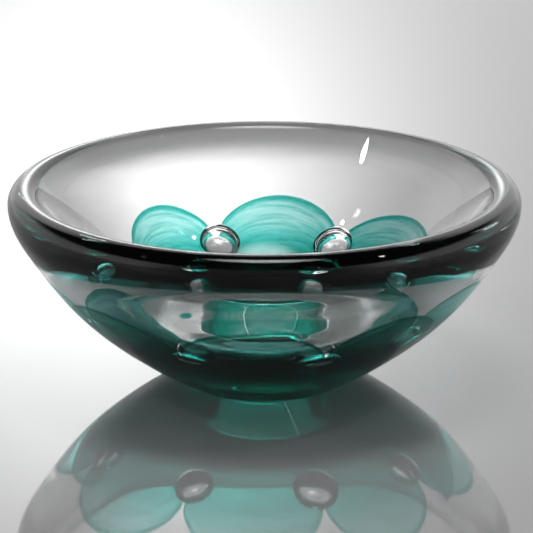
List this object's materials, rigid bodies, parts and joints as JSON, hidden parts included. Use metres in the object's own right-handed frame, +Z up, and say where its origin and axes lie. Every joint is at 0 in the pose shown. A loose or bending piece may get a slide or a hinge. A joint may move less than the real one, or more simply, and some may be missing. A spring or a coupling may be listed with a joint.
{
  "type": "art glass bowl",
  "caption": "Heavy clear glass bowl with a rounded rim and a flat ground base, a green petal flower and trapped air bubbles sealed inside its thick wall.",
  "frame": {"origin": "centre of the flat ground base", "axes": "+Z up the axis of the bowl, -Y towards the front"},
  "size_m": [0.26, 0.26, 0.1015],
  "materials": {
    "clear_glass": "fire polished, clear",
    "green_glass": "sealed inside, transparent blue-green"
  },
  "bodies": {
    "root": {"outer_casing": "clear_glass", "inner_lining": "clear_glass", "petal_1": "green_glass", "petal_2": "green_glass", "petal_3": "green_glass", "petal_4": "green_glass", "petal_5": "green_glass", "petal_6": "green_glass", "petal_7": "green_glass", "petal_8": "green_glass", "petal_hub": "green_glass"}
  },
  "joints": []
}
